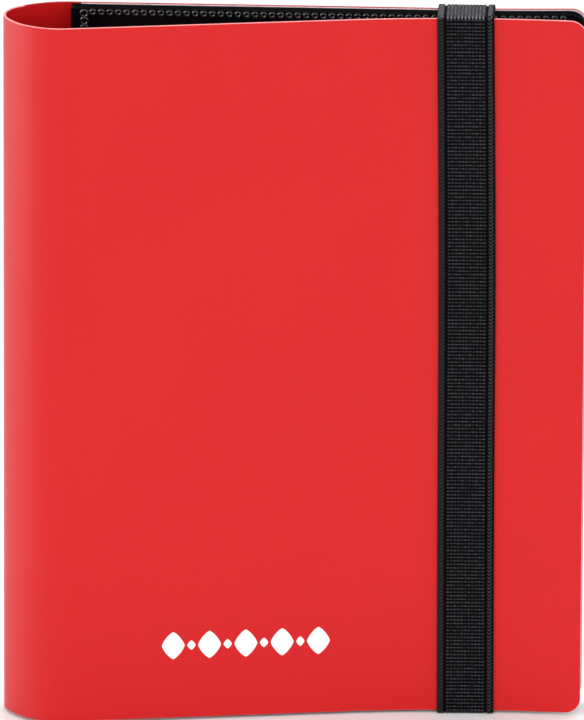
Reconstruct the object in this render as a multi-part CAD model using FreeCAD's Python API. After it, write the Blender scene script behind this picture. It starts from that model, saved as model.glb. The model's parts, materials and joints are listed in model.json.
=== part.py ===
import FreeCAD, Part
import math
import os

from FreeCAD import Vector

# A soft-cover binder for trading cards, closed and standing on its bottom edges.
# One polypropylene sheet makes the back cover, the rounded spine and the front cover.
# Twenty black pages with clear pockets are bound to the back cover close to the spine,
# and an elastic strap holds the covers shut near the fore edge.
#
# Bench coordinates: x runs from the spine's outermost line to the fore edge, y is 0 at
# the back cover's outer face and negative towards the front cover, and z runs up from
# the covers' bottom edge. Each shape is moved to the middle of the footprint, standing
# on z = 0, when it is written.

# Covers
WIDTH = 184.0
HEIGHT = 233.0
SHEET = 0.85
CORNER_RADIUS = 5.0

# Spine: a rounded nose with an easier curve on each side of it
FOLD_X = 21.0
NOSE_RADIUS = 9.0
NOSE_DEPTH = 13.4
FRONT_FOLD_DEPTH = 27.6

# Front cover: flat from the spine, then curving outwards past the strap
FRONT_SLOPE = math.radians(8.9)
FRONT_FLARE_X = 106.0
FRONT_FLARE_RADIUS = 320.0

# Back cover: flat from the spine, then curving outwards past the strap
BACK_FLARE_X = 136.0
BACK_FLARE_RADIUS = 600.0

# Elastic strap
STRAP_LEFT = 138.0
STRAP_WIDTH = 18.0
STRAP_THICKNESS = 1.15
STRAP_BEND = 1.3
STRAP_TURN_DOWN = 2.5
STRAP_GAP = 0.06

# Under the binder's weight the strap is pressed thinner where it is stood on
STRAP_PRESSED = 0.6

# Slots in the back cover for the strap's ends
SLOT_FROM_EDGE = 14.0
SLOT_HEIGHT = 1.6
SLOT_WIDTH = 18.8
TAB_INNER_LENGTH = 14.0
TAB_WELDED = 0.5
TAB_OUTER_STANDOFF = 0.36

# Pages
PAGE_COUNT = 20
PAGE_PITCH = 0.23
PAGE_SHEET = 0.10
FILM = 0.05
PAGE_BACK_Y = -1.5
PAGE_EDGE_INSET = 0.3
PAGE_LEFT = 21.9
PAGE_RIGHT = 183.6
MARGIN_END = 28.0
PAGE_START = 29.0

# Pockets: two columns of film on each face, open towards the spine
FILM_LEFT = 31.0
FILM_SPLIT = 106.5
FILM_SPLIT_GAP = 1.5
FILM_INSET = 0.9

# Binding strip: an L section behind and beside the bound margins
BINDING_LEFT = 21.0
BINDING_RIGHT = 28.5

PAGE_THICKNESS = PAGE_SHEET + 2 * FILM
PAGE_BOTTOM = PAGE_EDGE_INSET
PAGE_TOP = HEIGHT - PAGE_EDGE_INSET
STACK_FRONT_Y = PAGE_BACK_Y - (PAGE_COUNT - 1) * PAGE_PITCH - PAGE_THICKNESS


def tangent_radius(fold, inward):
    """Radius of the arc that leaves the fold in line and runs smoothly into the nose."""
    across = fold - NOSE_CENTRE
    return (NOSE_RADIUS ** 2 - across.dot(across)) / (2 * (across.dot(inward) + NOSE_RADIUS))


def angle_from(centre, point):
    return math.atan2(point.y - centre.y, point.x - centre.x)


# Section of the cover, outer line
NOSE_CENTRE = Vector(NOSE_RADIUS, -NOSE_DEPTH, 0)
NOSE_POINT = Vector(0, -NOSE_DEPTH, 0)

BACK_FOLD = Vector(FOLD_X, 0, 0)
BACK_INWARD = Vector(0, -1, 0)
BACK_SIDE_RADIUS = tangent_radius(BACK_FOLD, BACK_INWARD)
BACK_SIDE_CENTRE = BACK_FOLD + BACK_INWARD * BACK_SIDE_RADIUS

FRONT_FOLD = Vector(FOLD_X, -FRONT_FOLD_DEPTH, 0)
FRONT_INWARD = Vector(-math.sin(FRONT_SLOPE), math.cos(FRONT_SLOPE), 0)
FRONT_SIDE_RADIUS = tangent_radius(FRONT_FOLD, FRONT_INWARD)
FRONT_SIDE_CENTRE = FRONT_FOLD + FRONT_INWARD * FRONT_SIDE_RADIUS

BACK_FLARE_START = Vector(BACK_FLARE_X, 0, 0)
BACK_FLARE_CENTRE = BACK_FLARE_START - BACK_INWARD * BACK_FLARE_RADIUS
BACK_FLARE_ANGLE = math.asin((WIDTH - BACK_FLARE_X) / BACK_FLARE_RADIUS)
BACK_EDGE_Y = BACK_FLARE_RADIUS * (1 - math.cos(BACK_FLARE_ANGLE))

FRONT_FLARE_START = Vector(
    FRONT_FLARE_X, FRONT_FOLD.y + (FRONT_FLARE_X - FOLD_X) * math.tan(FRONT_SLOPE), 0
)
FRONT_FLARE_CENTRE = FRONT_FLARE_START - FRONT_INWARD * FRONT_FLARE_RADIUS

SPINE_FRONT_Y = FRONT_SIDE_CENTRE.y - FRONT_SIDE_RADIUS

# The footprint's middle and the strap's underside become the origin
TO_ORIGIN = Vector(
    -WIDTH / 2,
    -(SPINE_FRONT_Y + BACK_EDGE_Y) / 2,
    STRAP_PRESSED + STRAP_GAP,
)


def straight(start, end):
    """A straight stretch of the cover's section, as an edge at any depth inside it."""
    along = (end - start).normalize()
    inward = Vector(-along.y, along.x, 0)
    return lambda depth: Part.LineSegment(start + inward * depth, end + inward * depth).toShape()


def bend(centre, radius, start, end, centre_inside):
    """A round stretch of the section, between two angles at its centre."""
    side = 1 if centre_inside else -1

    def edge(depth):
        reach = radius - side * depth
        points = [
            centre + Vector(math.cos(angle), math.sin(angle), 0) * reach
            for angle in (start, (start + end) / 2, end)
        ]
        return Part.Arc(*points).toShape()

    return edge


def sheet_from(pieces, bottom, top):
    """A sheet of the cover's thickness that follows the pieces, standing from bottom to top."""
    outer = [piece(0) for piece in pieces]
    inner = [piece(SHEET) for piece in pieces]
    ends = [
        Part.LineSegment(outer[0].Vertexes[0].Point, inner[0].Vertexes[0].Point).toShape(),
        Part.LineSegment(outer[-1].Vertexes[-1].Point, inner[-1].Vertexes[-1].Point).toShape(),
    ]
    wire = Part.Wire(Part.__sortEdges__(outer + inner + ends))
    sheet = Part.Face(wire).extrude(Vector(0, 0, top - bottom))
    sheet.translate(Vector(0, 0, bottom))
    return sheet


def rounded_panel(left, right, bottom, top, back, front, radius):
    """A flat panel in the x and z plane, with its two corners at the right rounded."""
    middle = radius * (1 - math.sqrt(0.5))
    low_corner = Part.Arc(
        Vector(right - radius, back, bottom),
        Vector(right - middle, back, bottom + middle),
        Vector(right, back, bottom + radius),
    ).toShape()
    high_corner = Part.Arc(
        Vector(right, back, top - radius),
        Vector(right - middle, back, top - middle),
        Vector(right - radius, back, top),
    ).toShape()
    sides = [
        Part.LineSegment(Vector(left, back, bottom), Vector(right - radius, back, bottom)).toShape(),
        low_corner,
        Part.LineSegment(Vector(right, back, bottom + radius), Vector(right, back, top - radius)).toShape(),
        high_corner,
        Part.LineSegment(Vector(right - radius, back, top), Vector(left, back, top)).toShape(),
        Part.LineSegment(Vector(left, back, top), Vector(left, back, bottom)).toShape(),
    ]
    return Part.Face(Part.Wire(sides)).extrude(Vector(0, front - back, 0))


def box(left, right, back, front, bottom, top):
    return Part.makeBox(right - left, back - front, top - bottom, Vector(left, front, bottom))


def cover_outline():
    """What the covers' rounded corners leave, as a block to trim a cover with."""
    return rounded_panel(0, WIDTH, 0, HEIGHT, 2 * BACK_EDGE_Y, -2 * FRONT_FOLD_DEPTH, CORNER_RADIUS)


def strap_slot(middle_z):
    middle_x = STRAP_LEFT + STRAP_WIDTH / 2
    half_width = SLOT_WIDTH / 2
    half_height = SLOT_HEIGHT / 2
    return box(
        middle_x - half_width,
        middle_x + half_width,
        SHEET + BACK_EDGE_Y,
        -2 * SHEET,
        middle_z - half_height,
        middle_z + half_height,
    )


def back_cover():
    flare = bend(
        BACK_FLARE_CENTRE,
        BACK_FLARE_RADIUS,
        BACK_FLARE_ANGLE - math.pi / 2,
        -math.pi / 2,
        centre_inside=False,
    )
    sheet = sheet_from([flare, straight(BACK_FLARE_START, BACK_FOLD)], 0, HEIGHT)
    slots = [strap_slot(SLOT_FROM_EDGE), strap_slot(HEIGHT - SLOT_FROM_EDGE)]
    return sheet.common(cover_outline()).cut(Part.Compound(slots))


def spine_back():
    """The back half of the spine, from the back fold to the nose."""
    side_end = angle_from(BACK_SIDE_CENTRE, NOSE_CENTRE)
    pieces = [
        bend(BACK_SIDE_CENTRE, BACK_SIDE_RADIUS, math.pi / 2, side_end, centre_inside=True),
        bend(NOSE_CENTRE, NOSE_RADIUS, side_end, math.pi, centre_inside=True),
    ]
    return sheet_from(pieces, 0, HEIGHT)


def spine_front():
    """The front half of the spine, from the nose to the front fold."""
    side_start = angle_from(FRONT_SIDE_CENTRE, NOSE_CENTRE) % (2 * math.pi)
    side_end = 1.5 * math.pi + FRONT_SLOPE
    pieces = [
        bend(NOSE_CENTRE, NOSE_RADIUS, math.pi, side_start, centre_inside=True),
        bend(FRONT_SIDE_CENTRE, FRONT_SIDE_RADIUS, side_start, side_end, centre_inside=True),
    ]
    return sheet_from(pieces, 0, HEIGHT)


def front_cover():
    flare_end = math.acos((WIDTH - FRONT_FLARE_CENTRE.x) / FRONT_FLARE_RADIUS)
    flare = bend(
        FRONT_FLARE_CENTRE,
        FRONT_FLARE_RADIUS,
        math.pi / 2 + FRONT_SLOPE,
        flare_end,
        centre_inside=False,
    )
    sheet = sheet_from([straight(FRONT_FOLD, FRONT_FLARE_START), flare], 0, HEIGHT)
    return sheet.common(cover_outline())


def front_face_y(x):
    """The front cover's outer face where it curves past the strap."""
    across = x - FRONT_FLARE_CENTRE.x
    return FRONT_FLARE_CENTRE.y + math.sqrt(FRONT_FLARE_RADIUS ** 2 - across ** 2)


def page_back(number):
    """The back face of a page, counted from 1 at the front cover."""
    return PAGE_BACK_Y - (PAGE_COUNT - number) * PAGE_PITCH


def page_sheet(number):
    back = page_back(number) - FILM
    return rounded_panel(
        PAGE_START, PAGE_RIGHT, PAGE_BOTTOM, PAGE_TOP, back, back - PAGE_SHEET, CORNER_RADIUS
    )


def page_pockets(number):
    """The clear film on both faces of a page, two columns on each."""
    back = page_back(number)
    low = PAGE_BOTTOM + FILM_INSET
    high = PAGE_TOP - FILM_INSET
    right = PAGE_RIGHT - FILM_INSET
    radius = CORNER_RADIUS - FILM_INSET
    films = []
    for face in (back, back - FILM - PAGE_SHEET):
        films.append(box(FILM_LEFT, FILM_SPLIT, face, face - FILM, low, high))
        films.append(
            rounded_panel(FILM_SPLIT + FILM_SPLIT_GAP, right, low, high, face, face - FILM, radius)
        )
    return Part.Compound(films)


def page_margins():
    """The bound inner edge of every page, which stays still when the page turns."""
    strips = []
    for number in range(1, PAGE_COUNT + 1):
        back = page_back(number)
        strips.append(box(PAGE_LEFT, MARGIN_END, back, back - PAGE_THICKNESS, PAGE_BOTTOM, PAGE_TOP))
    return Part.Compound(strips)


def binding_strip():
    behind = box(BINDING_LEFT, BINDING_RIGHT, -SHEET, PAGE_BACK_Y, PAGE_BOTTOM, PAGE_TOP)
    beside = box(BINDING_LEFT, PAGE_LEFT, -SHEET, STACK_FRONT_Y, PAGE_BOTTOM, PAGE_TOP)
    return behind.fuse(beside).removeSplitter()


def strap_loop(outer_back, outer_front, outer_bottom, outer_top, radius):
    """A rounded rectangle in the y and z plane, as a face at the strap's left edge."""
    block = Part.makeBox(
        STRAP_WIDTH,
        outer_back - outer_front,
        outer_top - outer_bottom,
        Vector(STRAP_LEFT, outer_front, outer_bottom),
    )
    long_edges = [edge for edge in block.Edges if abs(edge.tangentAt(0).x) > 0.9]
    return block.makeFillet(radius, long_edges)


def elastic_strap():
    """The strap's front span with both wraps, open at the back between its two ends."""
    inner_front = front_face_y(STRAP_LEFT) - STRAP_GAP
    outer = strap_loop(
        TAB_OUTER_STANDOFF + STRAP_THICKNESS,
        inner_front - STRAP_THICKNESS,
        -STRAP_GAP - STRAP_PRESSED,
        HEIGHT + STRAP_GAP + STRAP_THICKNESS,
        STRAP_BEND,
    )
    inner = strap_loop(
        TAB_OUTER_STANDOFF,
        inner_front,
        -STRAP_GAP,
        HEIGHT + STRAP_GAP,
        STRAP_BEND - STRAP_THICKNESS,
    )
    open_back = box(
        STRAP_LEFT - 1,
        STRAP_LEFT + STRAP_WIDTH + 1,
        TAB_OUTER_STANDOFF + 2 * STRAP_THICKNESS,
        TAB_OUTER_STANDOFF - STRAP_THICKNESS,
        STRAP_TURN_DOWN,
        HEIGHT - STRAP_TURN_DOWN,
    )
    return outer.cut(inner).cut(open_back)


def strap_tab():
    """The strap's upper end: down the back cover, in through its slot, and welded flat inside."""
    slot_z = HEIGHT - SLOT_FROM_EDGE
    half = STRAP_THICKNESS / 2
    outer_face = TAB_OUTER_STANDOFF + STRAP_THICKNESS
    inner_face = -SHEET - STRAP_GAP
    outside = box(
        STRAP_LEFT,
        STRAP_LEFT + STRAP_WIDTH,
        outer_face,
        TAB_OUTER_STANDOFF,
        slot_z - half,
        HEIGHT - STRAP_TURN_DOWN,
    )
    through = box(
        STRAP_LEFT,
        STRAP_LEFT + STRAP_WIDTH,
        outer_face,
        inner_face - TAB_WELDED,
        slot_z - half,
        slot_z + half,
    )
    inside = box(
        STRAP_LEFT,
        STRAP_LEFT + STRAP_WIDTH,
        inner_face,
        inner_face - TAB_WELDED,
        slot_z - TAB_INNER_LENGTH,
        slot_z + half,
    )
    return outside.fuse([through, inside]).removeSplitter()


def strap_tabs():
    upper = strap_tab()
    lower = upper.mirror(Vector(0, 0, HEIGHT / 2), Vector(0, 0, 1))
    return Part.Compound([upper, lower])


def write(name, shape):
    placed = shape.copy()
    placed.translate(TO_ORIGIN)
    placed.exportStep(os.path.join("parts", name + ".step"))


def main():
    os.makedirs("parts", exist_ok=True)
    write("back_cover", back_cover())
    write("spine_back", spine_back())
    write("spine_front", spine_front())
    write("front_cover", front_cover())
    write("binding_strip", binding_strip())
    write("page_margins", page_margins())
    for number in range(1, PAGE_COUNT + 1):
        write(f"page_sheet_{number:02d}", page_sheet(number))
        write(f"page_pockets_{number:02d}", page_pockets(number))
    write("strap_tabs", strap_tabs())
    write("elastic_strap", elastic_strap())


main()
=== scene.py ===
import json
import math

import bmesh
import bpy
import numpy as np
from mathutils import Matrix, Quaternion, Vector


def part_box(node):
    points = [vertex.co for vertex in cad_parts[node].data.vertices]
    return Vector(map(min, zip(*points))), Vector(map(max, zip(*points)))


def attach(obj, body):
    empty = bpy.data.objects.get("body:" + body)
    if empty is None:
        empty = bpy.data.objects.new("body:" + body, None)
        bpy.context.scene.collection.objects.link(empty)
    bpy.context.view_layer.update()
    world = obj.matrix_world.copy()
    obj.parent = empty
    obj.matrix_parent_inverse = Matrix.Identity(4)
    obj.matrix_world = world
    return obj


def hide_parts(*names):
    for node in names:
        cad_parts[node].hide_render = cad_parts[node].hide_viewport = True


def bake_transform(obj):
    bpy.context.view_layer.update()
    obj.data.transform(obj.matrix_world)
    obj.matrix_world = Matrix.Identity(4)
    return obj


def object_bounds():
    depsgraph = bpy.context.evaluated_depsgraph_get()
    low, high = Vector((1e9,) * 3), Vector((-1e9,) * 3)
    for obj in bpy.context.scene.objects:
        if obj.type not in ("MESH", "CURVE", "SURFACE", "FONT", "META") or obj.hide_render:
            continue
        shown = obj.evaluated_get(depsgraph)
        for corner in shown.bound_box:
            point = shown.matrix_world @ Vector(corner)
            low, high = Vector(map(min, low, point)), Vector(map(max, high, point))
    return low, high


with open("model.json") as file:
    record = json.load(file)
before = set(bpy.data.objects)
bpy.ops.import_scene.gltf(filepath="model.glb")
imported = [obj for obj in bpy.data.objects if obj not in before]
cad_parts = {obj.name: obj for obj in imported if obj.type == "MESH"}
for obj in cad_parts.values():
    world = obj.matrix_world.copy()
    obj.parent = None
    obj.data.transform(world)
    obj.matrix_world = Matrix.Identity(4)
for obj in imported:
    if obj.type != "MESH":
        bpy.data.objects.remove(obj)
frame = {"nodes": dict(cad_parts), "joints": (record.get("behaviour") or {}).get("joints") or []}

# A soft-cover trading card binder, closed, built around the CAD frame. All sizes are metres.
cad_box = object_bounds()
MM = 0.001

# ---- Places, from the CAD frame ------------------------------------------------------------

SPINE_LOW, SPINE_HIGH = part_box("spine_back")
COVER_LOW, COVER_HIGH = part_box("front_cover")
MARGIN_LOW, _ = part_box("page_margins")
STRAP_LOW, STRAP_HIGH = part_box("elastic_strap")
STRAP_WIDTH = STRAP_HIGH.x - STRAP_LOW.x
STRAP_MIDDLE_X = (STRAP_LOW.x + STRAP_HIGH.x) / 2

NOSE_X = SPINE_LOW.x
FOLD_X = SPINE_HIGH.x
FORE_X = COVER_HIGH.x
BACK_Y = SPINE_HIGH.y
NOSE_Y = SPINE_LOW.y
FRONT_FOLD_Y = COVER_LOW.y
COVER_BOTTOM = COVER_LOW.z
COVER_TOP = COVER_HIGH.z
MIDDLE_Z = (COVER_BOTTOM + COVER_TOP) / 2

JOINTS = {joint["name"]: joint for joint in frame["joints"]}
PAGE_COUNT = sum(name.startswith("page_sheet_") for name in frame["nodes"])

# ---- The cover's section -------------------------------------------------------------------

SHEET = 0.85 * MM
CORNER_RADIUS = 5 * MM
EDGE_ROUND = 0.16 * MM
NOSE_RADIUS = 9 * MM
FRONT_SLOPE = math.radians(8.9)
FRONT_FLARE_X = FOLD_X + 85 * MM
FRONT_FLARE_RADIUS = 320 * MM
BACK_FLARE_X = FOLD_X + 115 * MM
BACK_FLARE_RADIUS = 600 * MM
BACK_SPLIT_X = NOSE_X + 6.2 * MM
FRONT_SPLIT_X = NOSE_X + 7.25 * MM
COVER_ROWS = 48

# The cover's upright mesh edges are longer than this, and those across its thickness shorter
UPRIGHT_EDGE = 1.2 * MM

# Slots for the strap's ends: the second size runs through the sheet
SLOT_FROM_EDGE = 14 * MM
SLOT_SIZE = (18.8 * MM, 10 * MM, 1.6 * MM)

# Clear hem along the back cover's inner face
HEM_WIDTH = 3 * MM
HEM_INSET = 0.16 * MM
HEM_THICKNESS = 0.5 * MM
HEM_CLEARANCE = 0.02 * MM
HEM_LEFT = FOLD_X + 3 * MM
HEM_STEPS = 40

# ---- Pages ---------------------------------------------------------------------------------

HINGE_REACH = 2.5 * MM
WELD_PITCH = 2.7 * MM
WELD_RADIUS = 0.72 * MM
OUTER_WELD_HEIGHT = 0.22 * MM
INNER_WELD_HEIGHT = 0.05 * MM
BINDING_WELD_PITCH = 2.5 * MM
BINDING_WELD_RADIUS = 1.05 * MM
BINDING_WELD_FROM_EDGE = 3.3 * MM
EDGE_MARGIN = 1.15 * MM
WELD_SEGMENTS = 14
BEND_STEPS = 5
PAGE_STEPS = 32
FILM_STEPS = 18
FILM_CLEARANCE = 0.2
POCKET_SPLIT_LEFT = FOLD_X + 85.5 * MM
POCKET_SPLIT_RIGHT = FOLD_X + 87.0 * MM

# FILM_CLEARANCE is the share of the film's thickness left open on each side of it.
# From outside to inside of a weld's rim: (distance from its crest in mm, share of its height)
WELD_PROFILE = ((0.40, -0.1), (0.12, 0.8), (0, 1), (-0.14, 0.65), (-0.30, -0.1))

# ---- Strap ---------------------------------------------------------------------------------

STRAP_THICKNESS = 1.15 * MM
STRAP_TOP_SHIFT = -1.1 * MM
STRAP_BOTTOM_SHIFT = 0.3 * MM
RIB_PITCH = 1.18 * MM
BEAD_PITCH = 1.12 * MM
SELVEDGE = 2.4 * MM
GROOVE = 0.34 * MM
STRAP_GAP = 0.06 * MM
TAIL_LENGTH = 12 * MM
SLOT_TURN = 0.6 * MM
COVER_TURN = 0.95 * MM
TURN_STEPS = 12
STRAP_COLUMNS = 82
STRAP_EDGE_ROUND = 0.35 * MM
OUTER_EDGE_DROP = 0.30 * MM
INNER_EDGE_DROP = 0.12 * MM

# Half the strap's thickness where the binder stands on it
PRESSED_HALF = 0.42 * MM

# Heights of the weave over the strap's plain face
RIB_HEIGHT = 0.17 * MM
CORD_HEIGHT = 0.24 * MM
TURN_HEIGHT = 0.16 * MM
LEFT_CORD_HEIGHT = 0.26 * MM
RIGHT_CORD_HEIGHT = 0.20 * MM
CHEVRON_HEIGHT = 0.12 * MM
GROOVE_DEPTH = 0.22 * MM

# ---- Printed ornament, camera and floor ----------------------------------------------------

ORNAMENT_LEFT = FOLD_X + 33.5 * MM
ORNAMENT_Z = COVER_BOTTOM + 24.5 * MM
ORNAMENT_COUNT = 9
ORNAMENT_PITCH = 5.75 * MM
LARGE_LOZENGE = (3.6 * MM, 4.6 * MM)
SMALL_LOZENGE = (1.3 * MM, 1.6 * MM)
PRINT_LIFT = 0.03 * MM

CAMERA_AZIMUTH = 2.37
CAMERA_ELEVATION = 19.77
CAMERA_ROLL = 0.24
CAMERA_DISTANCE = 6.0
CAMERA_TARGET = (-0.0004, 0, 0.1192)
LENS = 945.6

FLOOR_RADIUS = 30
FLOOR_GAP = 0.3 * MM


# ---- Mesh helpers --------------------------------------------------------------------------

def make_piece(name, points, faces, materials, face_slots=None, sharp=35):
    """A mesh object in the row frame, smooth but for edges sharper than an angle."""
    mesh = bpy.data.meshes.new(name)
    mesh.from_pydata([tuple(p) for p in points], [], faces)
    for material in materials:
        mesh.materials.append(material)
    if face_slots is not None:
        mesh.polygons.foreach_set("material_index", face_slots)
    mesh.polygons.foreach_set("use_smooth", [True] * len(mesh.polygons))
    mesh.set_sharp_from_angle(angle=math.radians(sharp))
    mesh.update()
    piece = bpy.data.objects.new(name, mesh)
    bpy.context.scene.collection.objects.link(piece)
    return piece


def grid_quads(rows, columns, start=0, flip=False):
    """Quads of a grid of points stored row by row."""
    quads = []
    for row in range(rows - 1):
        for column in range(columns - 1):
            a = start + row * columns + column
            quad = (a, a + 1, a + columns + 1, a + columns)
            quads.append(quad[::-1] if flip else quad)
    return quads


def face_outwards(piece):
    mesh = bmesh.new()
    mesh.from_mesh(piece.data)
    bmesh.ops.recalc_face_normals(mesh, faces=mesh.faces)
    mesh.to_mesh(piece.data)
    mesh.free()


# ---- Materials -----------------------------------------------------------------------------

def new_material(name):
    material = bpy.data.materials.new(name)
    material.use_nodes = True
    nodes = material.node_tree.nodes
    return material, nodes, material.node_tree.links, nodes["Principled BSDF"]


def noise(nodes, links, scale, detail=2.0, stretch=(1, 1, 1)):
    """Noise in the object's own coordinates, in features per metre."""
    coordinates = nodes.new("ShaderNodeTexCoord")
    mapping = nodes.new("ShaderNodeMapping")
    mapping.inputs["Scale"].default_value = stretch
    texture = nodes.new("ShaderNodeTexNoise")
    texture.inputs["Scale"].default_value = scale
    texture.inputs["Detail"].default_value = detail
    links.new(coordinates.outputs["Object"], mapping.inputs["Vector"])
    links.new(mapping.outputs["Vector"], texture.inputs["Vector"])
    return texture.outputs["Fac"]


def ramp(nodes, links, value, low, high, start=0.0, end=1.0):
    """A colour between two, by a value between start and end."""
    node = nodes.new("ShaderNodeValToRGB")
    node.color_ramp.elements[0].position = start
    node.color_ramp.elements[0].color = low
    node.color_ramp.elements[1].position = end
    node.color_ramp.elements[1].color = high
    links.new(value, node.inputs["Fac"])
    return node.outputs["Color"]


def spread(nodes, links, value, low, high):
    """A number between low and high, by a value between 0.25 and 0.75."""
    node = nodes.new("ShaderNodeMapRange")
    node.inputs["From Min"].default_value = 0.25
    node.inputs["From Max"].default_value = 0.75
    node.inputs["To Min"].default_value = low
    node.inputs["To Max"].default_value = high
    links.new(value, node.inputs["Value"])
    return node.outputs["Result"]


def bump(nodes, links, value, shader, strength, distance):
    node = nodes.new("ShaderNodeBump")
    node.inputs["Strength"].default_value = strength
    node.inputs["Distance"].default_value = distance
    links.new(value, node.inputs["Height"])
    links.new(node.outputs["Normal"], shader.inputs["Normal"])


def cover_plastic():
    """Satin polypropylene: even red, with a very fine moulded grain."""
    material, nodes, links, shader = new_material("cover_plastic")
    broad = noise(nodes, links, 14, 3)
    links.new(ramp(nodes, links, broad, (0.555, 0.0062, 0.0080, 1), (0.575, 0.0076, 0.0095, 1), 0.3, 0.7),
              shader.inputs["Base Color"])
    links.new(spread(nodes, links, noise(nodes, links, 60, 4), 0.36, 0.43), shader.inputs["Roughness"])
    bump(nodes, links, noise(nodes, links, 2600, 2), shader, 0.12, 0.03 * MM)
    shader.inputs["Specular IOR Level"].default_value = 0.24
    return material


def cut_edge(name, low, high):
    """The sheet's cut edge, with fine marks of the die, in the colours given: a painted highlight or
    painted shade.
    """
    material, nodes, links, shader = new_material(name)
    fine = noise(nodes, links, 900, 3, (1, 1, 0.3))
    links.new(ramp(nodes, links, fine, low, high, 0.3, 0.7), shader.inputs["Base Color"])
    links.new(spread(nodes, links, fine, 0.3, 0.45), shader.inputs["Roughness"])
    bump(nodes, links, fine, shader, 0.2, 0.03 * MM)
    return material


def hem_plastic():
    """Frosted clear plastic, milky at its edge."""
    material, nodes, links, shader = new_material("hem_plastic")
    fine = noise(nodes, links, 400, 3)
    links.new(ramp(nodes, links, fine, (0.55, 0.47, 0.50, 1), (0.72, 0.62, 0.65, 1), 0.3, 0.7),
              shader.inputs["Base Color"])
    links.new(spread(nodes, links, fine, 0.25, 0.45), shader.inputs["Roughness"])
    return material


def page_plastic():
    """Black page backing, with a faint pressed texture."""
    material, nodes, links, shader = new_material("page_plastic")
    broad = noise(nodes, links, 40, 3)
    links.new(ramp(nodes, links, broad, (0.0012, 0.0012, 0.0018, 1), (0.0026, 0.0026, 0.0034, 1), 0.3, 0.7),
              shader.inputs["Base Color"])
    links.new(spread(nodes, links, broad, 0.42, 0.55), shader.inputs["Roughness"])
    bump(nodes, links, noise(nodes, links, 1500, 2), shader, 0.15, 0.04 * MM)
    shader.inputs["Specular IOR Level"].default_value = 0.01
    return material


def weld_plastic():
    """Clear film melted into the black backing at a weld: smooth and glossy."""
    material, nodes, links, shader = new_material("weld_plastic")
    fine = noise(nodes, links, 700, 2)
    links.new(ramp(nodes, links, fine, (0.002, 0.002, 0.003, 1), (0.016, 0.016, 0.020, 1), 0.35, 0.65),
              shader.inputs["Base Color"])
    links.new(spread(nodes, links, fine, 0.12, 0.25), shader.inputs["Roughness"])
    shader.inputs["Specular IOR Level"].default_value = 0.5
    return material


def pocket_film():
    """Clear pocket film, slightly uneven."""
    material, nodes, links, shader = new_material("pocket_film")
    broad = noise(nodes, links, 30, 3)
    links.new(ramp(nodes, links, broad, (0.010, 0.010, 0.012, 1), (0.030, 0.030, 0.034, 1), 0.3, 0.7),
              shader.inputs["Base Color"])
    links.new(spread(nodes, links, broad, 0.10, 0.22), shader.inputs["Roughness"])
    bump(nodes, links, noise(nodes, links, 25, 2), shader, 0.2, 0.4 * MM)
    shader.inputs["Alpha"].default_value = 0.06
    return material


def strap_elastic():
    """Black ribbed elastic, with painted highlights on the crests of the ribs and painted shade between
    them.
    """
    material, nodes, links, shader = new_material("strap_elastic")
    # This attribute carries painted light: highlights on the rib crests, shade between them.
    painted_shading = nodes.new("ShaderNodeAttribute")
    painted_shading.attribute_name = "painted_shading"
    fibre = noise(nodes, links, 3500, 3, (0.35, 1, 1))
    mixed = nodes.new("ShaderNodeMath")
    mixed.operation = "MULTIPLY_ADD"
    mixed.inputs[1].default_value = 0.16
    links.new(fibre, mixed.inputs[0])
    links.new(painted_shading.outputs["Fac"], mixed.inputs[2])
    # The ramp runs from painted shade to painted highlight.
    shade = nodes.new("ShaderNodeValToRGB")
    dark, pale = shade.color_ramp.elements
    dark.position, dark.color = 0.12, (0.0010, 0.0010, 0.0016, 1)
    pale.position, pale.color = 1.0, (0.50, 0.49, 0.51, 1)
    for position, level in ((0.50, 0.058), (0.78, 0.20)):
        stop = shade.color_ramp.elements.new(position)
        stop.color = (level, level * 0.98, level * 1.1, 1)
    links.new(mixed.outputs["Value"], shade.inputs["Fac"])
    links.new(shade.outputs["Color"], shader.inputs["Base Color"])
    links.new(spread(nodes, links, fibre, 0.6, 0.8), shader.inputs["Roughness"])
    bump(nodes, links, fibre, shader, 0.5, 0.08 * MM)
    shader.inputs["Specular IOR Level"].default_value = 0.04
    return material


def white_print():
    material, nodes, links, shader = new_material("white_print")
    fine = noise(nodes, links, 500, 3)
    links.new(ramp(nodes, links, fine, (0.86, 0.85, 0.85, 1), (0.94, 0.93, 0.93, 1), 0.3, 0.7),
              shader.inputs["Base Color"])
    links.new(spread(nodes, links, fine, 0.45, 0.55), shader.inputs["Roughness"])
    return material


def floor_surface():
    material, nodes, links, shader = new_material("floor_surface")
    broad = noise(nodes, links, 3, 2)
    links.new(ramp(nodes, links, broad, (0.86, 0.86, 0.86, 1), (0.90, 0.90, 0.90, 1), 0.3, 0.7),
              shader.inputs["Base Color"])
    shader.inputs["Roughness"].default_value = 0.8
    return material


COVER = cover_plastic()
# The spine's and front cover's cut edges are painted lighter than the cover: a painted highlight on the
# edge.
PAINTED_HIGHLIGHT_EDGE = cut_edge("cut_edge", (0.80, 0.20, 0.21, 1), (0.90, 0.32, 0.33, 1))
# The back cover's cut edges are painted dark red: painted shade on the edge.
PAINTED_SHADE_EDGE = cut_edge("painted_shade_edge", (0.34, 0.006, 0.010, 1), (0.44, 0.012, 0.016, 1))
HEM = hem_plastic()
PAGE = page_plastic()
WELD = weld_plastic()
FILM_CLEAR = pocket_film()
ELASTIC = strap_elastic()
PRINT = white_print()


# ---- Cover ---------------------------------------------------------------------------------

def side_arc(fold, inward):
    """(centre, radius, angle where it meets the nose) of the arc between a fold and the nose."""
    nose = Vector((NOSE_X + NOSE_RADIUS, NOSE_Y))
    across = fold - nose
    radius = (NOSE_RADIUS ** 2 - across.length_squared) / (2 * (across.dot(inward) + NOSE_RADIUS))
    centre = fold + inward * radius
    toward = nose - centre
    return centre, radius, math.atan2(toward.y, toward.x) % math.tau


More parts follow.
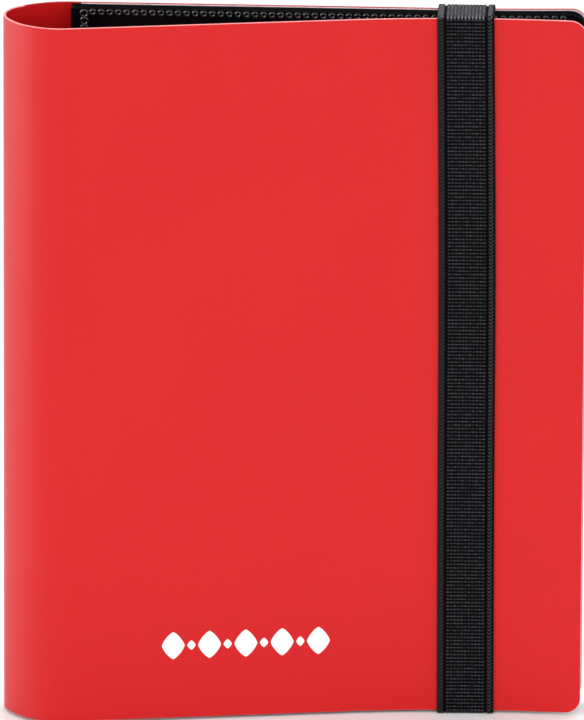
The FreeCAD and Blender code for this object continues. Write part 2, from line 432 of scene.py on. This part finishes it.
def back_section(x):
    """(y of the back cover's outer face, inward direction) at x."""
    across = max(0.0, x - BACK_FLARE_X) / BACK_FLARE_RADIUS
    y = BACK_Y + BACK_FLARE_RADIUS * (1 - math.sqrt(1 - across ** 2))
    angle = math.asin(across)
    return y, Vector((math.sin(angle), -math.cos(angle)))


FLARE_START_Y = FRONT_FOLD_Y + (FRONT_FLARE_X - FOLD_X) * math.tan(FRONT_SLOPE)
FRONT_INWARD = Vector((-math.sin(FRONT_SLOPE), math.cos(FRONT_SLOPE)))
FRONT_FLARE_CENTRE = Vector((FRONT_FLARE_X, FLARE_START_Y)) - FRONT_INWARD * FRONT_FLARE_RADIUS


def front_section(x):
    """(y of the front cover's outer face, inward direction) at x."""
    if x < FRONT_FLARE_X:
        return FRONT_FOLD_Y + (x - FOLD_X) * math.tan(FRONT_SLOPE), FRONT_INWARD
    across = (x - FRONT_FLARE_CENTRE.x) / FRONT_FLARE_RADIUS
    height = math.sqrt(1 - across ** 2)
    return FRONT_FLARE_CENTRE.y + FRONT_FLARE_RADIUS * height, Vector((across, height))


def cover_stations():
    """x values along a cover, from the fold to the fore edge: close together at its corners."""
    corner = [FORE_X - CORNER_RADIUS * (1 - math.sin(math.radians(a))) for a in range(0, 91, 9)]
    count = int((corner[0] - FOLD_X) / (3 * MM))
    flat = [FOLD_X + (corner[0] - FOLD_X) * i / count for i in range(count)]
    return flat + corner


def arc_stations(centre, radius, start, end, step=0.7 * MM):
    """(point, inward direction) along an arc of the spine, without its first point."""
    count = max(2, int(abs(end - start) * radius / step))
    stations = []
    for i in range(1, count + 1):
        angle = start + (end - start) * i / count
        out = Vector((math.cos(angle), math.sin(angle)))
        stations.append((centre + out * radius, -out))
    return stations


def section_stations():
    """(point, inward direction) along the whole cover, from the back fore edge to the front one."""
    stations = []
    for x in reversed(cover_stations()):
        y, inward = back_section(x)
        stations.append((Vector((x, y)), inward))
    back_fold = Vector((FOLD_X, BACK_Y))
    centre, radius, back_meet = side_arc(back_fold, Vector((0, -1)))
    stations += arc_stations(centre, radius, math.pi / 2, back_meet)
    front_fold = Vector((FOLD_X, FRONT_FOLD_Y))
    front_centre, front_radius, front_meet = side_arc(front_fold, FRONT_INWARD)
    nose = Vector((NOSE_X + NOSE_RADIUS, NOSE_Y))
    stations += arc_stations(nose, NOSE_RADIUS, back_meet, front_meet)
    stations += arc_stations(front_centre, front_radius, front_meet, 1.5 * math.pi + FRONT_SLOPE)
    for x in cover_stations()[1:]:
        y, inward = front_section(x)
        stations.append((Vector((x, y)), inward))
    return stations


def corner_drop(x):
    """How much a rounded corner takes off the top and the bottom at x."""
    into = x - (FORE_X - CORNER_RADIUS)
    if into <= 0:
        return 0.0
    return CORNER_RADIUS - math.sqrt(max(0.0, CORNER_RADIUS ** 2 - into ** 2))


def sheet_piece(name, stations, rim, rows=COVER_ROWS):
    """A stretch of the cover, with its thickness and rounded rims in a material of their own."""
    outer, inner = [], []
    for point, inward in stations:
        drop = corner_drop(point.x)
        low, high = COVER_BOTTOM + drop, COVER_TOP - drop
        for row in range(rows):
            z = low + (high - low) * row / (rows - 1)
            outer.append((point.x, point.y, z))
            inner.append((point.x + inward.x * SHEET, point.y + inward.y * SHEET, z))
    columns = len(stations)
    offset = len(outer)
    faces = grid_quads(columns, rows) + grid_quads(columns, rows, offset, flip=True)
    slots = [0] * len(faces)
    for column in range(columns - 1):
        a, b = column * rows, (column + 1) * rows
        faces.append((a, b, b + offset, a + offset))
        a, b = a + rows - 1, b + rows - 1
        faces.append((b, a, a + offset, b + offset))
    for row in range(rows - 1):
        a = row
        faces.append((a + 1, a, a + offset, a + 1 + offset))
        a = (columns - 1) * rows + row
        faces.append((a, a + 1, a + 1 + offset, a + offset))
    slots += [1] * (len(faces) - len(slots))
    piece = make_piece(name, outer + inner, faces, [COVER, rim], slots)
    round_rims(piece)
    return piece


def round_rims(piece):
    """Rounds the cut edges a little, but not where a piece is split from the next one."""
    mesh = bmesh.new()
    mesh.from_mesh(piece.data)
    bmesh.ops.recalc_face_normals(mesh, faces=mesh.faces)
    rims = []
    for edge in mesh.edges:
        if len(edge.link_faces) != 2 or edge.calc_face_angle(0) < math.radians(60):
            continue
        middle = (edge.verts[0].co + edge.verts[1].co) / 2
        upright = abs(edge.verts[0].co.z - edge.verts[1].co.z) > UPRIGHT_EDGE
        if upright and middle.x < FOLD_X:
            continue
        rims.append(edge)
    bmesh.ops.bevel(
        mesh, geom=rims, offset=EDGE_ROUND, segments=2, affect="EDGES", clamp_overlap=True, material=1
    )
    mesh.to_mesh(piece.data)
    mesh.free()
    piece.data.polygons.foreach_set("use_smooth", [True] * len(piece.data.polygons))
    piece.data.set_sharp_from_angle(angle=math.radians(50))


def build_cover():
    stations = section_stations()
    first = min(i for i, (point, _) in enumerate(stations) if point.x < BACK_SPLIT_X)
    last = max(i for i, (point, _) in enumerate(stations) if point.x < FRONT_SPLIT_X)
    # The back cover's rims take the dark painted shade colour; the spine's and front cover's rims take the
    # lighter painted highlight colour.
    back = sheet_piece("cover_back", stations[:first + 1], PAINTED_SHADE_EDGE)
    spine = sheet_piece("cover_spine", stations[first:last + 1], PAINTED_HIGHLIGHT_EDGE)
    front = sheet_piece("cover_front", stations[last:], PAINTED_HIGHLIGHT_EDGE)
    cut_slots(back)
    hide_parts("back_cover")
    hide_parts("spine_back", "spine_front")
    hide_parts("front_cover")
    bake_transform(back)
    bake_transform(spine)
    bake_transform(front)


def cut_slots(back):
    """The two slots that the strap's ends go through."""
    for z in (COVER_BOTTOM + SLOT_FROM_EDGE, COVER_TOP - SLOT_FROM_EDGE):
        bpy.ops.mesh.primitive_cube_add(size=1, location=(STRAP_MIDDLE_X, BACK_Y, z))
        cutter = bpy.context.object
        cutter.scale = SLOT_SIZE
        # The slot walls take the same painted highlight colour as the cut edges.
        cutter.data.materials.append(PAINTED_HIGHLIGHT_EDGE)
        cut = back.modifiers.new("slot", "BOOLEAN")
        cut.object = cutter
        cut.solver = "EXACT"
        bpy.context.view_layer.update()
        graph = bpy.context.evaluated_depsgraph_get()
        back.data = bpy.data.meshes.new_from_object(back.evaluated_get(graph))
        back.modifiers.clear()
        bpy.data.objects.remove(cutter)


def hem_frame(inset):
    """(x, z) along the back cover's bottom, fore edge and top, so far in from its outline."""
    right, low, high = FORE_X - inset, COVER_BOTTOM + inset, COVER_TOP - inset
    radius = max(0.5 * MM, CORNER_RADIUS - inset)
    line = [(x, low) for x in np.linspace(HEM_LEFT, right - radius, HEM_STEPS)[:-1]]
    for centre_z, turn in ((low + radius, -90), (high - radius, 0)):
        for step in range(10):
            angle = math.radians(turn + 10 * step)
            line.append((right - radius + radius * math.cos(angle), centre_z + radius * math.sin(angle)))
    line += [(x, high) for x in np.linspace(right - radius, HEM_LEFT, HEM_STEPS)[1:]]
    return line


def build_hem():
    """The pale welded hem along the back cover's inner face."""
    points, faces = [], []
    near, far = SHEET + HEM_CLEARANCE, SHEET + HEM_THICKNESS
    for inset, reach in ((HEM_INSET, near), (HEM_INSET, far), (HEM_WIDTH, far), (HEM_WIDTH, near)):
        for x, z in hem_frame(inset):
            y, inward = back_section(x)
            points.append((x + inward.x * reach, y + inward.y * reach, z))
    count = len(points) // 4
    for side in range(4):
        a, b = side * count, (side + 1) % 4 * count
        for i in range(count - 1):
            faces.append((a + i, a + i + 1, b + i + 1, b + i))
    faces.append((0, count, 2 * count, 3 * count))
    faces.append((4 * count - 1, 3 * count - 1, 2 * count - 1, count - 1))
    hem = make_piece("back_hem", points, faces, [HEM])
    face_outwards(hem)
    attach(hem, "back_cover")


# ---- Pages ---------------------------------------------------------------------------------

def flare(x):
    """How far the fore edge of a page bends back with the back cover."""
    return back_section(x)[0] - BACK_Y


def weld_ring(points, faces, place, radius, height, side):
    """The raised rim of a round weld, on a page's front face (side -1) or back face (side 1)."""
    x, y, z = place
    y += flare(x)
    start = len(points)
    for offset, rise in WELD_PROFILE:
        reach = radius + offset * MM
        for i in range(WELD_SEGMENTS):
            angle = math.tau * i / WELD_SEGMENTS
            across, up = reach * math.cos(angle), reach * math.sin(angle)
            points.append((x + across, y + side * height * rise, z + up))
    for ring in range(len(WELD_PROFILE) - 1):
        for i in range(WELD_SEGMENTS):
            a = start + ring * WELD_SEGMENTS + i
            b = start + ring * WELD_SEGMENTS + (i + 1) % WELD_SEGMENTS
            quad = (a, b, b + WELD_SEGMENTS, a + WELD_SEGMENTS)
            faces.append(quad if side < 0 else quad[::-1])


def leaf(points, faces, low, high, radius, back, front, stations):
    """A thin leaf between two y values, with upright rows of points at the stations."""
    columns = []
    for x in stations:
        into = max(0.0, x - (high.x - radius))
        drop = radius - math.sqrt(max(0.0, radius ** 2 - into ** 2))
        columns.append((x, low.z + drop, high.z - drop))
    start = len(points)
    for x, bottom, top in columns:
        for y in (back + flare(x), front + flare(x)):
            points += [(x, y, bottom), (x, y, top)]
    for i in range(len(columns) - 1):
        a, b = start + 4 * i, start + 4 * (i + 1)
        faces += [(a, a + 1, b + 1, b), (a + 2, b + 2, b + 3, a + 3)]
        faces += [(a, b, b + 2, a + 2), (a + 1, a + 3, b + 3, b + 1)]
    end = start + 4 * (len(columns) - 1)
    faces.append((start, start + 2, start + 3, start + 1))
    faces.append((end, end + 1, end + 3, end + 2))


def corner_stations(right, radius):
    return [right - radius * (1 - math.sin(math.radians(a))) for a in range(0, 91, 15)]


def row_of(start, end, pitch):
    count = int((end - start) / pitch)
    return [start + pitch * i for i in range(count + 1)]


def hinge_of(number):
    return Vector(JOINTS[f"page_{number:02d}_turn"]["pos_m"])


def sides_seen(number):
    """The sides of a page that show, closed or open: -1 is its front face and 1 its back face."""
    if number in (1, PAGE_COUNT // 2 + 1):
        return [-1]
    if number == PAGE_COUNT // 2:
        return [1]
    return []


def build_page(number):
    """One page with its bound margin and pockets, and welds on the sides that show."""
    low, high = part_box(f"page_sheet_{number:02d}")
    film_low, film_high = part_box(f"page_pockets_{number:02d}")
    hinge = hinge_of(number)
    left = MARGIN_LOW.x
    points, faces = [], []
    bend = [hinge.x + HINGE_REACH * (i / BEND_STEPS - 1) for i in range(2 * BEND_STEPS + 1)]
    corner = corner_stations(high.x, CORNER_RADIUS)
    body = [bend[-1] + (corner[0] - bend[-1]) * i / PAGE_STEPS for i in range(1, PAGE_STEPS)]
    stations = [left, left + 2 * MM] + bend + body + corner
    leaf(points, faces, low, high, CORNER_RADIUS, high.y, low.y, stations)
    sheet_faces = len(faces)
    for side in sides_seen(number):
        face = film_low.y if side < 0 else film_high.y
        height = OUTER_WELD_HEIGHT if number == 1 else INNER_WELD_HEIGHT
        add_welds(points, faces, (low, high), face, side, height)
    slots = [0] * sheet_faces + [1] * (len(faces) - sheet_faces)
    page = make_piece(f"page_{number:02d}", points, faces, [PAGE, WELD], slots)
    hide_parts(f"page_sheet_{number:02d}", "page_margins")
    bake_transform(page)
    build_pockets(number, film_low, film_high, low, high)


def add_welds(points, faces, page_box, face, side, height):
    """The weld rings of a page face: round the edge, between the pockets and down the binding."""
    low, high = page_box
    left = MARGIN_LOW.x + BINDING_WELD_FROM_EDGE
    for drop in row_of(1.4 * EDGE_MARGIN, high.z - low.z - EDGE_MARGIN, BINDING_WELD_PITCH):
        weld_ring(points, faces, (left, face, high.z - drop), BINDING_WELD_RADIUS, height, side)
    for z in (low.z + EDGE_MARGIN, MIDDLE_Z, high.z - EDGE_MARGIN):
        for x in row_of(left + WELD_PITCH, high.x - CORNER_RADIUS, WELD_PITCH):
            weld_ring(points, faces, (x, face, z), WELD_RADIUS, height, side)
    split = (POCKET_SPLIT_LEFT + POCKET_SPLIT_RIGHT) / 2
    for x in (split, high.x - EDGE_MARGIN):
        for z in row_of(low.z + EDGE_MARGIN + WELD_PITCH, high.z - EDGE_MARGIN - WELD_PITCH, WELD_PITCH):
            weld_ring(points, faces, (x, face, z), WELD_RADIUS, height, side)


def build_pockets(number, film_low, film_high, low, high):
    """Clear film over both faces, in two columns that open towards the spine."""
    points, faces = [], []
    radius = CORNER_RADIUS - (high.x - film_high.x)
    corner = corner_stations(film_high.x, radius)
    lift = FILM_CLEARANCE * (film_high.y - high.y)
    outer = list(np.linspace(POCKET_SPLIT_RIGHT, corner[0], FILM_STEPS)[:-1]) + corner
    for back, front in ((film_high.y - lift, high.y + lift), (low.y - lift, film_low.y + lift)):
        leaf(points, faces, film_low, film_high, radius, back, front, [film_low.x, POCKET_SPLIT_LEFT])
        leaf(points, faces, film_low, film_high, radius, back, front, outer)
    pockets = make_piece(f"pockets_{number:02d}", points, faces, [FILM_CLEAR])
    face_outwards(pockets)
    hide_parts(f"page_pockets_{number:02d}")
    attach(pockets, f"page_{number:02d}")


# ---- Strap ---------------------------------------------------------------------------------

def rounded_path(corners, radii, step):
    """Points along straight runs joined by arcs, at even steps."""
    path = [Vector(corners[0])]
    for before, corner, after, radius in zip(corners, corners[1:], corners[2:], radii):
        into = (Vector(corner) - Vector(before)).normalized()
        out = (Vector(after) - Vector(corner)).normalized()
        start = Vector(corner) - into * radius
        centre = start + out * radius
        for i in range(TURN_STEPS + 1):
            turn = math.pi / 2 * i / TURN_STEPS
            path.append(centre - out * radius * math.cos(turn) + into * radius * math.sin(turn))
    path.append(Vector(corners[-1]))
    lengths = np.concatenate([[0], np.cumsum([(b - a).length for a, b in zip(path, path[1:])])])
    count = int(lengths[-1] / step)
    even = np.linspace(0, lengths[-1], count)
    ys = np.interp(even, lengths, [p.x for p in path])
    zs = np.interp(even, lengths, [p.y for p in path])
    return even, ys, zs


def strap_route():
    """(length, y, z) down the middle of the strap's thickness, from one inner end to the other."""
    half = STRAP_THICKNESS / 2
    back, _ = back_section(STRAP_MIDDLE_X)
    front, _ = front_section(STRAP_MIDDLE_X)
    outside = back + STRAP_GAP + half
    inside = back - SHEET - STRAP_GAP - half
    before = front - STRAP_GAP - half
    over = COVER_TOP + STRAP_GAP + half
    under = COVER_BOTTOM - STRAP_GAP - PRESSED_HALF
    upper = COVER_TOP - SLOT_FROM_EDGE
    lower = COVER_BOTTOM + SLOT_FROM_EDGE
    corners = [
        (inside, upper - TAIL_LENGTH), (inside, upper), (outside, upper), (outside, over),
        (before, over), (before, under), (outside, under), (outside, lower), (inside, lower),
        (inside, lower + TAIL_LENGTH),
    ]
    radii = [SLOT_TURN] * 2 + [COVER_TURN] * 4 + [SLOT_TURN] * 2
    return rounded_path(corners, radii, RIB_PITCH / 5)


def half_round(distance):
    """Height of a round cord as wide as the selvedge, from 0 to 1, at a distance from its edge."""
    half = SELVEDGE / 2
    return np.sqrt(np.clip(1 - ((distance - half) / half) ** 2, 0, 1))


def middle_weave(across, along, wrap, turn):
    """(height, painted shading) of the ribs between the selvedges, which wrap over the edges as cords, with
    painted highlights on the beads of the turn.
    """
    rib = 0.5 + 0.5 * np.cos(math.tau * along / RIB_PITCH)
    bead = np.abs(np.cos(math.pi * across / BEAD_PITCH))
    uneven = strand_strength(across, along)
    ribs = RIB_HEIGHT * rib ** 1.5 * (0.65 + 0.35 * bead)
    ribs_painted_shading = 0.45 * rib ** 3 * (0.25 + 0.75 * bead) * uneven
    cords = CORD_HEIGHT * bead ** 0.7
    cords_painted_shading = (0.16 + 0.34 * bead) * (0.6 + 0.4 * uneven)
    height = ribs * (1 - wrap) + cords * wrap + TURN_HEIGHT * turn * bead
    painted_shading = ribs_painted_shading * (1 - wrap) + cords_painted_shading * wrap + turn * (1.1 * bead ** 2 - 0.4)
    return height, painted_shading


def left_selvedge(across, along, wrap):
    """(height, painted shading) of the left edge: one round cord with a faint knit, painted lighter where
    the strap wraps over an edge.
    """
    cord = half_round(across)
    knit = 0.5 + 0.5 * np.cos(math.tau * (along + 0.35 * across) / RIB_PITCH)
    height = LEFT_CORD_HEIGHT * cord + (0.05 + 0.08 * wrap) * MM * knit
    return height, (0.08 + 0.10 * knit * cord) * (1 + 2.2 * wrap)


def right_selvedge(from_right, along, wrap):
    """(height, painted shading) of the right edge: a row of chevrons with painted highlights, dark at its
    outermost.
    """
    cord = half_round(from_right)
    slant = along + 0.9 * np.abs(from_right - 1.25 * SELVEDGE / 2)
    chevron = 0.5 + 0.5 * np.cos(math.tau * slant / RIB_PITCH)
    height = RIGHT_CORD_HEIGHT * cord + CHEVRON_HEIGHT * chevron
    outermost = np.clip(from_right / (0.6 * MM) - 0.4, 0, 1)
    return height, (0.03 + 0.34 * chevron ** 2 * cord) * outermost * (1 + 1.2 * wrap)


def strap_relief(across, along, wrap, turn):
    """(height over the plain face, painted shading) of the woven face: painted highlights on the crests,
    painted shade in the grooves.

    wrap is 1 where the strap crosses from one face of the covers to the other, over an edge or
    through a slot, and turn is 1 where it turns down onto the front cover.
    """
    from_right = STRAP_WIDTH - across
    middle, middle_painted_shading = middle_weave(across, along, wrap, turn)
    left, left_painted_shading = left_selvedge(across, along, wrap)
    right, right_painted_shading = right_selvedge(from_right, along, wrap)
    at_left, at_right = across < SELVEDGE, from_right < SELVEDGE
    height = np.where(at_left, left, np.where(at_right, right, middle))
    painted_shading = np.where(at_left, left_painted_shading, np.where(at_right, right_painted_shading, middle_painted_shading))
    groove = np.minimum(np.abs(across - SELVEDGE), np.abs(from_right - SELVEDGE)) < GROOVE
    # The grooves are painted dark: painted shade.
    return np.where(groove, -GROOVE_DEPTH, height), np.where(groove, -0.1, painted_shading)


def strand_strength(across, along):
    """How strongly the painted highlight shows on each bead of each rib: no two are quite alike."""
    ribs = np.rint(along / RIB_PITCH).astype(int)
    beads = np.rint(across / BEAD_PITCH).astype(int)
    strength = np.random.default_rng(5).uniform(0.55, 1.15, (ribs.max() + 1, beads.max() + 1))
    return strength[ribs, beads]


def route_normals(along, ys, zs):
    """(y, z) of the outward direction at each point of the strap's route."""
    tangent_y, tangent_z = np.gradient(ys, along), np.gradient(zs, along)
    size = np.hypot(tangent_y, tangent_z)
    return tangent_z / size, -tangent_y / size


def strap_shifts(xs, ys, zs):
    """(x, y) shifts that lay the strap along both covers and a little askew at its ends."""
    back, _ = back_section(STRAP_MIDDLE_X)
    front, _ = front_section(STRAP_MIDDLE_X)
    to_front = np.clip((back - ys) / (back - front), 0, 1)[:, None]
    back_shift = np.array([back_section(x)[0] - back for x in xs])[None, :]
    front_shift = np.array([front_section(x)[0] - front for x in xs])[None, :]
    rise = np.clip((zs - COVER_BOTTOM) / (COVER_TOP - COVER_BOTTOM), 0, 1)
    front_share = 1 - np.sin(math.pi * rise)[:, None]
    from_end = np.minimum(zs - COVER_BOTTOM, COVER_TOP - zs)
    back_share = 1 - np.clip(from_end / SLOT_FROM_EDGE, 0, 1)[:, None]
    end_shift = np.where(zs > MIDDLE_Z, STRAP_TOP_SHIFT, STRAP_BOTTOM_SHIFT)[:, None]
    sideways = end_shift * np.where(to_front > 0.5, front_share, back_share)
    return sideways, back_shift * (1 - to_front) + front_shift * to_front


def strap_faces(rows, columns):
    """Faces of a woven outer grid, an inner grid three points wide, both sides and both ends."""
    start = rows * columns
    faces = grid_quads(rows, columns) + grid_quads(rows, 3, start, flip=True)
    for row in range(rows - 1):
        a, b = row * columns, (row + 1) * columns
        c, d = start + row * 3, start + (row + 1) * 3
        faces.append((a, b, d, c))
        faces.append((b + columns - 1, a + columns - 1, c + 2, d + 2))
    for row in (0, rows - 1):
        rim = [row * columns + i for i in range(columns)]
        faces.append(tuple(rim + [start + row * 3 + i for i in (2, 1, 0)]))
    return faces


def build_strap():
    """The whole elastic strap: front span, both wraps and both ends through the back cover."""
    along, ys, zs = strap_route()
    normal_y, normal_z = route_normals(along, ys, zs)
    across = np.linspace(0, STRAP_WIDTH, STRAP_COLUMNS)
    grid_across, grid_along = np.meshgrid(across, along)
    # Where the strap wraps over an edge or turns onto the front, its painted highlights are stronger.
    wrap = np.clip(3 * np.abs(normal_z) - 1.2, 0, 1)[:, None]
    turn = np.clip(1 - np.abs(normal_z - 0.55) / 0.25, 0, 1) * (normal_y < 0) * (zs > MIDDLE_Z)
    relief, painted_shading = strap_relief(grid_across, grid_along, wrap, turn[:, None])
    half = STRAP_THICKNESS / 2
    from_side = np.minimum(grid_across, STRAP_WIDTH - grid_across)
    edge_round = np.clip(1 - from_side / STRAP_EDGE_ROUND, 0, 1) ** 2
    outer_rise = half - RIB_HEIGHT + relief - OUTER_EDGE_DROP * edge_round
    inner_rise = INNER_EDGE_DROP * edge_round - half
    xs = STRAP_LOW.x + across
    sideways, shift = strap_shifts(xs, ys, zs)
    layers = []
    for rise in (outer_rise, inner_rise):
        x = np.broadcast_to(xs[None, :], rise.shape) + sideways
        y = ys[:, None] + normal_y[:, None] * rise + shift
        z = zs[:, None] + normal_z[:, None] * rise
        layers.append(np.stack([x, y, z], axis=-1))
    rows, columns = relief.shape
    outer = layers[0].reshape(-1, 3)
    inner = layers[1][:, [0, columns // 2, columns - 1]].reshape(-1, 3)
    points = np.concatenate([outer, inner])
    strap = make_piece("elastic_strap_woven", points, strap_faces(rows, columns), [ELASTIC], sharp=80)
    # The inner faces get one even, dark value of the painted shading.
    painted_shading_values = np.concatenate([painted_shading.reshape(-1), np.full(len(inner), 0.25)])
    strap.data.attributes.new("painted_shading", "FLOAT", "POINT").data.foreach_set("value", painted_shading_values)
    face_outwards(strap)
    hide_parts("elastic_strap", "strap_tabs")
    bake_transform(strap)


# ---- Printed ornament ----------------------------------------------------------------------

def lozenge(points, faces, x, z, half_width, half_height):
    """Adds a lozenge with slightly bulging sides, as (x, z) points and one face."""
    start = len(points)
    for i in range(48):
        angle = math.tau * i / 48
        cosine, sine = math.cos(angle), math.sin(angle)
        points.append((
            x + half_width * math.copysign(abs(cosine) ** 1.5, cosine),
            z + half_height * math.copysign(abs(sine) ** 1.5, sine),
        ))
    faces.append(tuple(range(start, len(points))))


def build_ornament():
    """A plain row of lozenges, large and small in turn, in white print."""
    flat, faces = [], []
    for i in range(ORNAMENT_COUNT):
        half_width, half_height = LARGE_LOZENGE if i % 2 == 0 else SMALL_LOZENGE
        lozenge(flat, faces, ORNAMENT_LEFT + i * ORNAMENT_PITCH, ORNAMENT_Z, half_width, half_height)
    points = []
    for x, z in flat:
        y, inward = front_section(x)
        points.append((x - inward.x * PRINT_LIFT, y - inward.y * PRINT_LIFT, z))
    ornament = make_piece("front_ornament", points, faces, [PRINT])
    thicken(ornament, FRONT_INWARD * 2 * PRINT_LIFT)
    ornament.data.polygons.foreach_set("use_smooth", [False] * len(ornament.data.polygons))
    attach(ornament, "front_cover")


def thicken(piece, inward):
    """Gives flat patches a thin body behind them."""
    mesh = bmesh.new()
    mesh.from_mesh(piece.data)
    grown = bmesh.ops.extrude_face_region(mesh, geom=mesh.faces[:], use_keep_orig=True)
    moved = [item for item in grown["geom"] if isinstance(item, bmesh.types.BMVert)]
    bmesh.ops.translate(mesh, verts=moved, vec=(inward.x, inward.y, 0))
    bmesh.ops.recalc_face_normals(mesh, faces=mesh.faces)
    mesh.to_mesh(piece.data)
    mesh.free()


# ---- Materials for the CAD nodes that stay --------------------------------------------------

def dress_node(name, material):
    node = frame["nodes"][name]
    node.data.materials.clear()
    node.data.materials.append(material)


# ---- Stage, light and camera ---------------------------------------------------------------

def build_stage():
    bpy.ops.mesh.primitive_circle_add(
        vertices=96, radius=FLOOR_RADIUS, fill_type="NGON", location=(0, 0, cad_box[0].z - FLOOR_GAP)
    )
    floor = bpy.context.object
    floor.name = "floor"
    floor.data.materials.append(floor_surface())
    world = bpy.data.worlds.new("studio")
    bpy.context.scene.world = world
    world.use_nodes = True
    background = world.node_tree.nodes["Background"]
    background.inputs["Color"].default_value = (1, 1, 1, 1)
    background.inputs["Strength"].default_value = 1.0


def area_light(name, location, target, size, power):
    light = bpy.data.lights.new(name, "AREA")
    light.shape = "RECTANGLE"
    light.size, light.size_y = size
    light.energy = power
    lamp = bpy.data.objects.new(name, light)
    lamp.location = location
    lamp.rotation_euler = (Vector(target) - Vector(location)).to_track_quat("-Z", "Y").to_euler()
    bpy.context.scene.collection.objects.link(lamp)
    return lamp


def build_lights():
    middle = (0, 0, MIDDLE_Z)
    area_light("key", (-0.9, -1.6, 0.9), middle, (0.9, 0.9), 6.8)
    area_light("fill", (1.2, -1.5, 0.4), middle, (1.0, 1.0), 5)
    area_light("top", (0.1, 0.2, 1.4), middle, (0.8, 0.5), 8)
    side = area_light("side", (-1.6, -0.1, 0.4), middle, (1.8, 1.6), 110)
    side.visible_diffuse = False


def build_camera():
    data = bpy.data.cameras.new("camera")
    data.lens = LENS
    data.sensor_width = 36
    data.clip_start = 0.05
    data.clip_end = 60
    camera = bpy.data.objects.new("camera", data)
    azimuth, elevation = math.radians(CAMERA_AZIMUTH), math.radians(CAMERA_ELEVATION)
    back = Vector((
        math.sin(azimuth) * math.cos(elevation),
        -math.cos(azimuth) * math.cos(elevation),
        math.sin(elevation),
    ))
    camera.location = Vector(CAMERA_TARGET) + back * CAMERA_DISTANCE
    aim = (-back).to_track_quat("-Z", "Y")
    roll = Quaternion((0, 0, 1), math.radians(CAMERA_ROLL))
    camera.rotation_mode = "QUATERNION"
    camera.rotation_quaternion = aim @ roll
    bpy.context.scene.collection.objects.link(camera)
    bpy.context.scene.camera = camera


# ---- Build ---------------------------------------------------------------------------------

build_camera()
build_stage()
build_lights()
build_cover()
build_hem()
for page_number in range(1, PAGE_COUNT + 1):
    build_page(page_number)
build_strap()
build_ornament()
dress_node("binding_strip", PAGE)
bpy.context.scene.view_settings.view_transform = "Standard"
